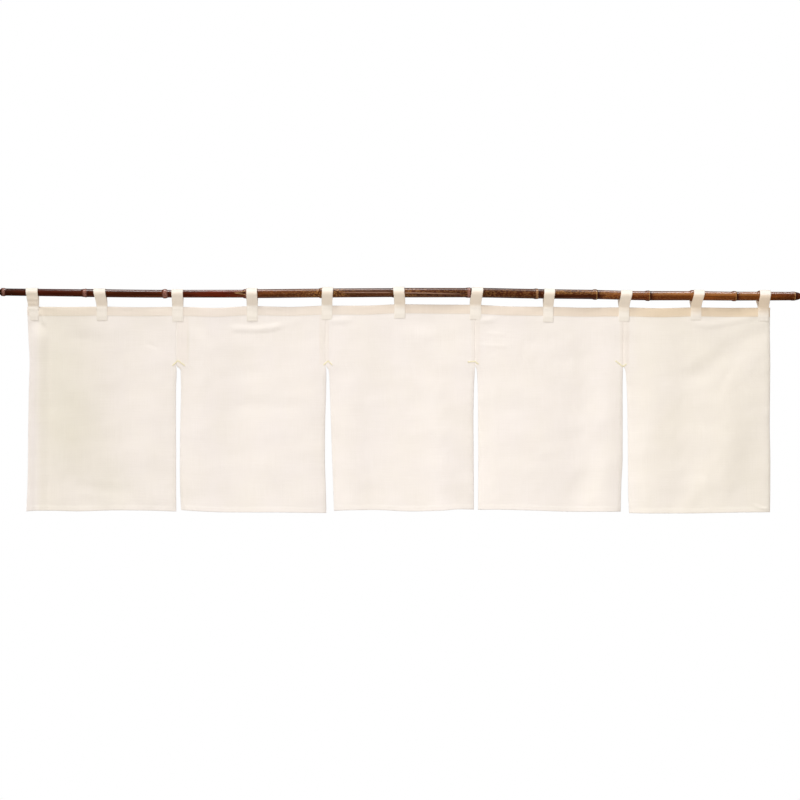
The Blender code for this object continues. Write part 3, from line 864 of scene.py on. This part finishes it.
def make_tab(number, mat):
    """A folded strip sewn to the heading's front and back, and hung over the pole."""
    tab = TABS[number]
    rng = np.random.default_rng(SEED + number)
    run, forward, z = tab_line(tab)
    middle, width = tab_middle(tab, forward, z)
    across = np.linspace(0.5, -0.5, TAB_COLUMNS + 1)
    x = middle[:, None] + width[:, None] * across
    steps = unit(np.stack((np.gradient(forward), np.gradient(z)), axis=-1))
    from_patch = np.minimum(run, run[-1] - run)[:, None]
    crown = TAB_CROWN * (1.0 - (2.0 * across) ** 2) - TAB_CROWN
    ridge = (from_patch - tab.patch + TAB_BULGE_UNDER) / TAB_BULGE_REACH
    bulge = TAB_BULGE * np.exp(-(ridge**2))
    pressed = TAB_PRESSED * blend(TAB_PRESSED_OVER, 0.0, from_patch)
    ranges = (TAB_RIPPLE_TURN, TAB_RIPPLE_SLANT, TAB_RIPPLE_PHASE)
    turn, slant, phase = (rng.uniform(*limits) for limits in ranges)
    ripple = np.sin(run[:, None] / turn + slant * across + phase)
    ripple = ripple + np.sin(run[:, None] / (TAB_RIPPLE_FINER * turn) - 2.0 * slant * across)
    loose = blend(tab.patch * TAB_RIPPLE_FROM, tab.patch + TAB_RIPPLE_OVER, from_patch)
    ripple = TAB_RIPPLE * tab.wrinkle * ripple * loose
    out = crown + bulge + np.abs(ripple) - pressed
    # Outward is to the left of the way that the strip runs, seen from its right side
    out_forward, out_z = steps[:, 1:2], -steps[:, 0:1]
    points = as_points(x, forward[:, None] + out * out_forward, z[:, None] + out * out_z)
    flat = np.stack((x, np.repeat(run[:, None], len(across), axis=1), np.zeros_like(x)), axis=-1)
    centre = float(pole_axis(tab.top_x))
    # Painted shadow of the pole on the leg below it, reaching a little down the patch
    leg = blend(tab.heading_z - tab.tan, tab.heading_z + TAB_LEG_OVER, z)
    leg = leg * blend(centre + TAB_LEG_OVER, centre, z)
    overlays = leg[:, None] * along(LEG_SHADOW, x)
    warmth = np.full(x.shape, TAB_WARMTH)
    attributes = {"flat": flat, "overlays": overlays, "warmth": warmth, "shade": np.zeros_like(x)}
    end = blend(TAB_PRESSED_OVER, 0.0, from_patch)
    thickness = TAB_THICKNESS + (TAB_END_THICKNESS - TAB_THICKNESS) * end + np.zeros_like(x)
    return closed_sheet(f"sewn_tab_{number + 1:02d}", points, thickness, mat, attributes)


def shade_at(x, z):
    """How much painted shade darkens the cotton at a point."""
    amount = np.zeros_like(x)
    for shade in SHADES:
        across = (x - shade.x) / shade.half_width
        up = (z - shade.z) / shade.half_height
        away = unit_range(np.hypot(across, up))
        amount += shade.amount * (1.0 + np.cos(np.pi * away)) / 2.0
    return amount


def stitch_row(points, outward):
    """Starts, ends and outward directions of the stitches along a line of points."""
    length = np.concatenate(([0.0], np.cumsum(np.linalg.norm(np.diff(points, axis=0), axis=1))))
    starts = np.arange(STITCH_PITCH / 2, length[-1] - STITCH_LENGTH, STITCH_PITCH)

    def at(run):
        return np.stack([np.interp(run, length, points[:, k]) for k in range(3)], axis=-1)

    return at(starts), at(starts + STITCH_LENGTH), np.tile(outward, (len(starts), 1))


def thread_object(name, rows, radius, mat):
    """One mesh of many short threads, each round in its middle and drawn in at its ends."""
    start, end, outward = (np.concatenate(part) for part in zip(*rows))
    way = unit(end - start)
    aside = unit(np.cross(way, outward))
    sides = THREAD_SIDES
    angle = np.linspace(0.0, 2.0 * math.pi, sides, endpoint=False)
    circle = np.cos(angle)[:, None] * outward[:, None, :] + np.sin(angle)[:, None] * aside[:, None, :]
    rings = [(start + share * (end - start))[:, None, :] + radius * circle for share in THREAD_BODY]
    sunk = outward * radius * THREAD_SUNK
    tips = [(start - sunk)[:, None, :], (end - sunk)[:, None, :]]
    block = np.concatenate([tips[0], rings[0], rings[1], tips[1]], axis=1)
    first = np.arange(sides)
    after = np.roll(first, -1)
    last_tip = 2 * sides + 1
    pattern = [[0, 1 + b, 1 + a] for a, b in zip(first, after)]
    pattern += [[1 + a, 1 + b, 1 + sides + b, 1 + sides + a] for a, b in zip(first, after)]
    pattern += [[1 + sides + a, 1 + sides + b, last_tip] for a, b in zip(first, after)]
    faces = []
    for k in range(len(block)):
        offset = k * (last_tip + 1)
        faces += [[offset + int(i) for i in face] for face in pattern]
    return mesh_object(name, block.reshape(-1, 3), faces, mat)


def panel_line(number, share, level, thickness, front):
    """Points on the front or back face of a panel."""
    share, level = np.broadcast_arrays(np.asarray(share, float), np.asarray(level, float))
    x, forward, z = cloth_point(number, share, level)
    return as_points(x, forward + (1 if front else -1) * thickness / 2, z)


def panel_stitches(number, mat):
    """The rows along a panel's heading, side and bottom hems, as they show on both faces."""
    across = np.linspace(0.01, 0.99, HEM_STITCH_POINTS)
    beside = (SIDE_HEM - STITCH_IN) / panel_width(number)
    rows = []
    for front in (True, False):
        outward = np.array([0.0, -1.0 if front else 1.0, 0.0])
        lines = [
            (across, HEADING_LINE + STITCH_IN, HEADING_THICKNESS),
            (across, HEM_LINE - STITCH_IN, HEM_THICKNESS),
        ]
        for share, outer in ((beside, number == 0), (1.0 - beside, number == PANELS - 1)):
            top = (HEADING_LINE if outer else SLIT_LEVEL) - SIDE_STITCHES_UNDER
            lines.append((share, np.linspace(top, HEM_LINE, SIDE_STITCH_POINTS), HEM_THICKNESS))
        for share, level, thickness in lines:
            points = panel_line(number, share, level, thickness, front)
            rows.append(stitch_row(points, outward))
    return thread_object(f"panel_stitches_{number + 1}", rows, STITCH_RADIUS, mat)


def tab_stitches(number, mat):
    """The box of stitches on a tab's patch, front and back."""
    tab = TABS[number]
    top = tab.heading_z - TAB_STITCH_IN
    low = tab.heading_z - tab.patch + TAB_STITCH_IN
    half = tab.patch_width / 2 - TAB_STITCH_IN
    corners = [(-half, top), (-half, low), (half, low), (half, top), (-half, top)]
    rows = []
    for side in (1.0, -1.0):
        for (x0, z0), (x1, z1) in zip(corners, corners[1:]):
            share = np.linspace(0.0, 1.0, 30)
            x = tab.patch_x + x0 + share * (x1 - x0)
            z = z0 + share * (z1 - z0)
            from_patch = z - tab.heading_z + tab.patch
            ridge = (tab.heading_z - TAB_BULGE_UNDER - z) / TAB_BULGE_REACH
            end = blend(TAB_PRESSED_OVER, 0.0, from_patch)
            surface = TAB_THICKNESS / 2 + (TAB_END_THICKNESS - TAB_THICKNESS) / 2 * end
            surface = surface + TAB_BULGE * np.exp(-(ridge**2)) - TAB_PRESSED * end
            crown = -TAB_CROWN * (2.0 * (x - tab.patch_x) / tab.patch_width) ** 2
            forward = side * (TAB_BESIDE_CLOTH + surface + crown)
            rows.append(stitch_row(as_points(x, forward, z), np.array([0.0, -side, 0.0])))
    return thread_object(f"tab_stitches_{number + 1:02d}", rows, STITCH_RADIUS, mat)


def slit_tack(number, mat):
    """Satin stitches across the top of a slit, which stop the seam from opening."""
    tack = TACKS[number]
    corners = (
        (tack.left_x, tack.left_z),
        (tack.middle_x, tack.middle_z),
        (tack.right_x, tack.right_z),
    )
    rows = []
    for (x0, z0), (x1, z1) in zip(corners, corners[1:]):
        length = math.hypot(x1 - x0, z1 - z0)
        share = np.linspace(0.0, 1.0, max(int(length / TACK_PITCH), 2))
        x, z = x0 + share * (x1 - x0), z0 + share * (z1 - z0)
        over = number + (x > edge(LEFT_EDGES[number + 1], SLIT_LEVEL))
        forward = np.zeros_like(x)
        for panel in (number, number + 1):
            share = (x - edge(LEFT_EDGES[panel], SLIT_LEVEL)) / panel_width(panel)
            _, surface, _ = cloth_point(panel, unit_range(share), z)
            forward = np.where(over == panel, surface, forward)
        lean_x = -(z1 - z0) / length * TACK_WIDTH / 2
        lean_z = (x1 - x0) / length * TACK_WIDTH / 2
        forward = forward + HEM_THICKNESS / 2 + TACK_RADIUS * TACK_RAISED
        outward = np.tile(np.array([0.0, -1.0, 0.0]), (len(x), 1))
        start = as_points(x - lean_x, forward, z - lean_z)
        rows.append((start, as_points(x + lean_x, forward, z + lean_z), outward))
    return thread_object(f"slit_tack_{number + 1}", rows, TACK_RADIUS, mat)


def add_node(tree, kind, inputs=None, **settings):
    """A shader node with its settings and inputs, each a value or the output linked to it."""
    node = tree.nodes.new("ShaderNode" + kind)
    for key, value in settings.items():
        setattr(node, key, value)
    for key, value in (inputs or {}).items():
        if isinstance(value, bpy.types.NodeSocket):
            tree.links.new(value, node.inputs[key])
        else:
            node.inputs[key].default_value = value
    return node


def maths(tree, operation, *values):
    return add_node(tree, "Math", dict(enumerate(values)), operation=operation).outputs[0]


def times(tree, *values):
    return maths(tree, "MULTIPLY", *values)


def mix_colours(tree, factor, first, second, kind="MIX"):
    node = add_node(
        tree, "Mix", {0: factor, 6: first, 7: second}, data_type="RGBA", blend_type=kind
    )
    return node.outputs[2]


def attribute(tree, name, output="Fac"):
    return add_node(tree, "Attribute", attribute_name=name).outputs[output]


def noise(tree, place, scale, detail=2.0, roughness=0.5):
    """Noise from 0 to 1 whose grain is scaled on each axis of a place."""
    scaled = add_node(tree, "Mapping", {"Vector": place, "Scale": scale})
    texture = add_node(
        tree,
        "TexNoise",
        {"Vector": scaled.outputs[0], "Scale": 1.0, "Detail": detail, "Roughness": roughness},
    )
    return texture.outputs[0]


def ramp(tree, value, *stops_and_colours):
    """Colours at stops from 0 to 1."""
    node = add_node(tree, "ValToRGB", {0: value})
    elements = node.color_ramp.elements
    for element, (stop, colour) in zip(elements, stops_and_colours):
        element.position, element.color = stop, colour
    for stop, colour in stops_and_colours[2:]:
        elements.new(stop).color = colour
    return node.outputs[0]


def grey(level):
    return (level, level, level, 1.0)


def srgb(red, green, blue):
    """A colour given as screen values from 0 to 255."""
    def linear(value):
        value /= 255.0
        return value / 12.92 if value <= 0.04045 else ((value + 0.055) / 1.055) ** 2.4

    return (linear(red), linear(green), linear(blue), 1.0)


def new_material(name):
    mat = bpy.data.materials.new(name)
    mat.use_nodes = True
    return mat, mat.node_tree


def finish_material(mat, colour, settings, height=None, depth=0.0, strength=1.0):
    """Link the colour, set what is the same all over, and raise the surface by a height."""
    tree = mat.node_tree
    shader = tree.nodes["Principled BSDF"]
    tree.links.new(colour, shader.inputs["Base Color"])
    for key, value in settings.items():
        shader.inputs[key].default_value = value
    if height is not None:
        bump = add_node(tree, "Bump", {"Height": height, "Distance": depth, "Strength": strength})
        tree.links.new(bump.outputs[0], shader.inputs["Normal"])
    return mat


# The cotton's weave in millimetres, its uneven tone, the tint of its painted shade, and its finish
YARN = 0.62
STREAK_LENGTH = 70.0
WEAVE_BUMP = 0.00012
WEAVE_SHARE = 0.5
MOTTLE_SCALE = (0.011, 0.008, 1.0)
THIN_YARN = (0.93, 0.925, 0.91, 1.0)
SHADE_TINT = (0.9, 0.91, 0.85, 1.0)
COTTON_FINISH = {
    "Roughness": 0.92,
    "Specular IOR Level": 0.2,
    "Sheen Weight": 0.08,
    "Sheen Roughness": 0.6,
}
THREAD_GRAIN = (900.0, 900.0, 900.0)
THREAD_FINISH = {"Roughness": 0.7}


def cotton_material(name, pale, warm, overlay_shade_tint):
    """Undyed plain weave: yarns, thick and thin places, uneven tone, and painted shade where doubled
    cloth lets less light through, under the pole and in soft patches.
    """
    mat, tree = new_material(name)
    flat = attribute(tree, "flat", "Vector")
    split = add_node(tree, "SeparateXYZ", {0: flat})
    turn = math.pi / YARN
    across = maths(tree, "SINE", times(tree, split.outputs[0], turn))
    down = maths(tree, "SINE", times(tree, split.outputs[1], turn))
    weave = times(tree, across, down)
    warp = noise(tree, flat, (1.0 / YARN, 1.0 / STREAK_LENGTH, 1.0), 3.0, 0.6)
    weft = noise(tree, flat, (1.0 / STREAK_LENGTH, 1.0 / YARN, 1.0), 3.0, 0.6)
    yarns = maths(tree, "ADD", warp, weft)
    mottle = maths(tree, "SUBTRACT", noise(tree, flat, MOTTLE_SCALE, 3.0), 0.5)
    tone = maths(tree, "ADD", attribute(tree, "warmth"), mottle)
    colour = mix_colours(tree, tone, pale, warm)
    mean = times(tree, yarns, 0.5)
    streaks = ramp(tree, mean, (0.3, THIN_YARN), (0.62, grey(1.0)))
    colour = mix_colours(tree, 1.0, colour, streaks, "MULTIPLY")
    # Painted shade: the overlays tint doubled cloth and the pole's shadow, the shade patches darken the
    # cloth
    for key, tint in (("overlays", overlay_shade_tint), ("shade", SHADE_TINT)):
        colour = mix_colours(tree, attribute(tree, key), colour, tint, "MULTIPLY")
    height = maths(tree, "ADD", times(tree, weave, WEAVE_SHARE), yarns)
    return finish_material(mat, colour, COTTON_FINISH, height, WEAVE_BUMP)


def thread_material(name, colour, shade):
    """Twisted sewing thread, with a slight change of tone along it."""
    mat, tree = new_material(name)
    grain = noise(tree, add_node(tree, "TexCoord").outputs["Object"], THREAD_GRAIN)
    return finish_material(mat, mix_colours(tree, grain, colour, shade), THREAD_FINISH)


# The cane's grain, in turns a metre along and across it, and its colours as screen values
CLOUDS = (16.0, 120.0, 120.0)
STREAKS = (12.0, 600.0, 600.0)
FLECK_GRAIN = (230.0, 400.0, 400.0)
SPECKLE = (420.0, 420.0, 420.0)
FIBRES = (8.0, 900.0, 900.0)
FIBRE_BUMP = 0.0003
FIBRE_STRENGTH = 0.3
GOLD = (206, 150, 84)
BAND_GOLD = (190, 132, 74)
RED_SCAR = (168, 118, 104)
GOLDEN_SCAR = (186, 142, 88)
# The pale line laid on the skin is a painted reflection
LAID_ON_SKIN = (("line", (168, 132, 112)), ("stain", (58, 20, 10)))
LAID_ON_SCARS = (("groove", (58, 10, 8)), ("lip", (196, 158, 106)), ("cut", (120, 84, 52)))
BAMBOO_FINISH = {
    "Roughness": 0.45,
    "Specular IOR Level": 0.2,
    "Coat Weight": 0.7,
    "Coat Roughness": 0.17,
}


def laid_on(tree, base, overlays):
    """The base with colours laid over it where the attributes of their names say."""
    for name, colour in overlays:
        base = mix_colours(tree, attribute(tree, name), base, srgb(*colour))
    return base


def bamboo_material():
    """Smoked cane under lacquer: dark red to the left, golden to the right, flecked in places."""
    mat, tree = new_material("smoked_bamboo")
    place = add_node(tree, "TexCoord").outputs["Object"]
    split = add_node(tree, "SeparateXYZ", {0: place})

    def share_of_length(start, end):
        limits = {"From Min": start, "From Max": end}
        return add_node(tree, "MapRange", {"Value": split.outputs[0], **limits}).outputs[0]

    share = share_of_length(POLE_LEFT * MM, POLE_RIGHT * MM)
    base = ramp(tree, share, *((stop, srgb(*colour)) for stop, colour in SKIN))
    clouds = noise(tree, place, CLOUDS, 4.0, 0.6)
    shade = ramp(tree, clouds, (0.35, (0.62, 0.56, 0.52, 1.0)), (0.65, (1.15, 1.12, 1.1, 1.0)))
    base = mix_colours(tree, 1.0, base, shade, "MULTIPLY")
    streaks = noise(tree, place, STREAKS, 3.0, 0.6)
    lines = ramp(tree, streaks, (0.36, (0.62, 0.58, 0.54, 1.0)), (0.64, (1.22, 1.2, 1.16, 1.0)))
    base = mix_colours(tree, 1.0, base, lines, "MULTIPLY")
    grain = noise(tree, place, FLECK_GRAIN, 2.0, 0.6)
    mask = ramp(tree, grain, (0.52, grey(0.0)), (0.57, grey(1.0)))
    gold = times(tree, mask, attribute(tree, "flecks"))
    base = mix_colours(tree, gold, base, srgb(*GOLD))
    streaked = times(tree, streaks, 2.0)
    banded = times(tree, attribute(tree, "band"), streaked)
    base = mix_colours(tree, banded, base, srgb(*BAND_GOLD))
    base = laid_on(tree, base, LAID_ON_SKIN)
    speckle = noise(tree, place, SPECKLE, 3.0, 0.7)
    scarred = ramp(tree, speckle, (0.36, grey(0.15)), (0.62, grey(1.0)))
    scar = times(tree, attribute(tree, "scar"), scarred)
    golden = share_of_length(GOLDEN_FROM, GOLDEN_TO)
    scar_colour = mix_colours(tree, golden, srgb(*RED_SCAR), srgb(*GOLDEN_SCAR))
    base = mix_colours(tree, scar, base, scar_colour)
    base = laid_on(tree, base, LAID_ON_SCARS)
    fibres = noise(tree, place, FIBRES, 3.0, 0.6)
    return finish_material(mat, base, BAMBOO_FINISH, fibres, FIBRE_BUMP, FIBRE_STRENGTH)


FLOOR_GRAIN = (3.0, 3.0, 3.0)
FLOOR_FINISH = {
    "Roughness": 0.9,
    "Emission Color": (1.0, 1.0, 0.99, 1.0),
    "Emission Strength": 0.3,
}


def floor_material():
    """A pale, even floor with a trace of grain."""
    mat, tree = new_material("pale_floor")
    grain = noise(tree, add_node(tree, "TexCoord").outputs["Object"], FLOOR_GRAIN, 3.0)
    colour = mix_colours(tree, grain, (0.93, 0.93, 0.92, 1.0), (0.96, 0.96, 0.95, 1.0))
    return finish_material(mat, colour, FLOOR_FINISH)


FLOOR_LEVEL = -1900.0
FLOOR_HALF = 3300.0
PHOTO_WIDTH = 1830.4
LENS = 85.0
SENSOR = 36.0
CAMERA_LEVEL = -245.5


# Light: strengths, directions in degrees and places in metres
WORLD_LIGHT = 0.44
KEY_ENERGY = 2.1
KEY_WIDTH = 12.0
KEY_AZIMUTH = 48.0
KEY_ELEVATION = 63.0
WIDE_LAMPS = (("front", 52.0, (0.12, -3.0, -0.45)), ("back", 44.0, (0.0, 3.0, 0.3)))
WIDE_LAMP_SIZE = (1.4, 0.7)
WIDE_LAMP_AIM = (0.0, 0.0, -0.25)
LIGHT_FROM_BELOW = (0.46, 0.39, 0.3, 1.0)
LIGHT_FROM_ABOVE = (1.0, 0.97, 0.92, 1.0)
STRIP_LEVEL = 1.9
STRIP_DEPTH = 0.8
STRIP_GLOW = 44.0
STRIPS = (
    Strip(-1.04, -0.77, -0.4, 1.1),
    Strip(-0.77, -0.53, 0.1, 1.0),
    Strip(-0.53, 0.1, -0.1, 0.6),
    Strip(0.1, 0.74, 0.0, 0.25),
    Strip(0.74, 1.56, -0.05, 1.0),
)


def make_floor():
    half = FLOOR_HALF
    corners = np.array([(-half, -half), (half, -half), (half, half), (-half, half)])
    vertices = np.column_stack((corners, np.full(4, FLOOR_LEVEL)))
    floor = mesh_object("floor", vertices, [[0, 1, 2, 3]], floor_material())
    floor.visible_diffuse = False
    floor.visible_glossy = False


def make_world():
    """A white backdrop to the eye, and a softer, dimmer light from all round, most from above."""
    world = bpy.data.worlds.new("studio")
    bpy.context.scene.world = world
    world.use_nodes = True
    tree = world.node_tree
    tree.nodes.clear()
    place = add_node(tree, "TexCoord").outputs["Generated"]
    height = add_node(tree, "SeparateXYZ", {0: place}).outputs[2]
    rise = add_node(tree, "MapRange", {"Value": height, "From Min": -1.0, "From Max": 1.0})
    glow = ramp(tree, rise.outputs[0], (0.0, LIGHT_FROM_BELOW), (1.0, LIGHT_FROM_ABOVE))
    light = add_node(tree, "Background", {0: glow, 1: WORLD_LIGHT})
    backdrop = add_node(tree, "Background", {0: grey(1.0), 1: 1.0})
    seen = add_node(tree, "LightPath").outputs["Is Camera Ray"]
    both = add_node(tree, "MixShader", {0: seen, 1: light.outputs[0], 2: backdrop.outputs[0]})
    output = add_node(tree, "OutputWorld")
    tree.links.new(both.outputs[0], output.inputs[0])
    world.cycles_visibility.glossy = False


def add_lamp(name, kind, glossy, **settings):
    """A lamp with its settings, seen by glossy rays or else by diffuse ones."""
    lamp = bpy.data.lights.new(name, kind)
    for key, value in settings.items():
        setattr(lamp, key, value)
    obj = new_object(name, lamp)
    obj.visible_glossy = glossy
    obj.visible_diffuse = not glossy
    obj.visible_camera = False
    return obj


def add_panel_lamp(name, glossy, energy, size, place, aim):
    """A flat lamp of a width and a depth that shines from a place to an aim."""
    width, depth = size
    lamp = add_lamp(
        name, "AREA", glossy, energy=energy, shape="RECTANGLE", size=width, size_y=depth
    )
    lamp.location = place
    lamp.rotation_euler = (Vector(aim) - lamp.location).to_track_quat("-Z", "Y").to_euler()


def make_lamps():
    """Key from the upper left, wide lamps in front and behind, and strips that shine on the cane."""
    key = add_lamp("key", "SUN", False, energy=KEY_ENERGY, angle=math.radians(KEY_WIDTH))
    key.rotation_euler = (math.radians(90.0 - KEY_ELEVATION), 0.0, -math.radians(KEY_AZIMUTH))
    for name, energy, place in WIDE_LAMPS:
        add_panel_lamp(name, False, energy, WIDE_LAMP_SIZE, place, WIDE_LAMP_AIM)
    for strip in STRIPS:
        size = (strip.right - strip.left, STRIP_DEPTH)
        energy = STRIP_GLOW * strip.glow * size[0] * STRIP_DEPTH
        middle = (strip.left + strip.right) / 2.0
        place = (middle, strip.y, STRIP_LEVEL)
        add_panel_lamp("strip", True, energy, size, place, (middle, 0.0, 0.0))


def make_camera():
    camera = bpy.data.cameras.new("camera")
    camera.lens = LENS
    camera.sensor_width = SENSOR
    obj = new_object("camera", camera)
    obj.location = (0.0, -PHOTO_WIDTH * LENS / SENSOR * MM, CAMERA_LEVEL * MM)
    obj.rotation_euler = (math.radians(90.0), 0.0, 0.0)
    bpy.context.scene.camera = obj


def dress(piece, slot, *nodes):
    """A piece rides on the part's one body, and stands for its nodes."""
    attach(piece, "root")
    if nodes:
        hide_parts(*nodes)
    return piece


# The last colour of each cotton tints its painted shade: doubled cloth, and the pole's shadow on the
# heading and the tabs' legs
cotton = cotton_material(
    "cotton", srgb(247, 240, 236), srgb(245, 238, 228), (0.9, 0.79, 0.65, 1.0)
)
tab_cotton = cotton_material(
    "tab_cotton", srgb(248, 241, 233), srgb(245, 237, 225), (0.97, 0.87, 0.75, 1.0)
)
thread = thread_material("thread", srgb(246, 240, 232), srgb(238, 230, 218))
tack_thread = thread_material("tack_thread", srgb(250, 244, 218), srgb(240, 230, 192))

pole = dress(make_pole(bamboo_material()), "bamboo", "pole")
for number in range(len(TABS)):
    tab = dress(make_tab(number, tab_cotton), "tab_cotton", f"tab_{number + 1:02d}")
    sewing = dress(tab_stitches(number, thread), "tab_cotton")
for number in range(PANELS):
    panel = dress(make_panel(number, cotton), "cotton", f"panel_{number + 1}")
    sewing = dress(panel_stitches(number, thread), "cotton")
for number in range(PANELS - 1):
    dress(slit_tack(number, tack_thread), "cotton")

make_floor()
make_world()
make_lamps()
make_camera()
bpy.context.scene.view_settings.view_transform = "Standard"
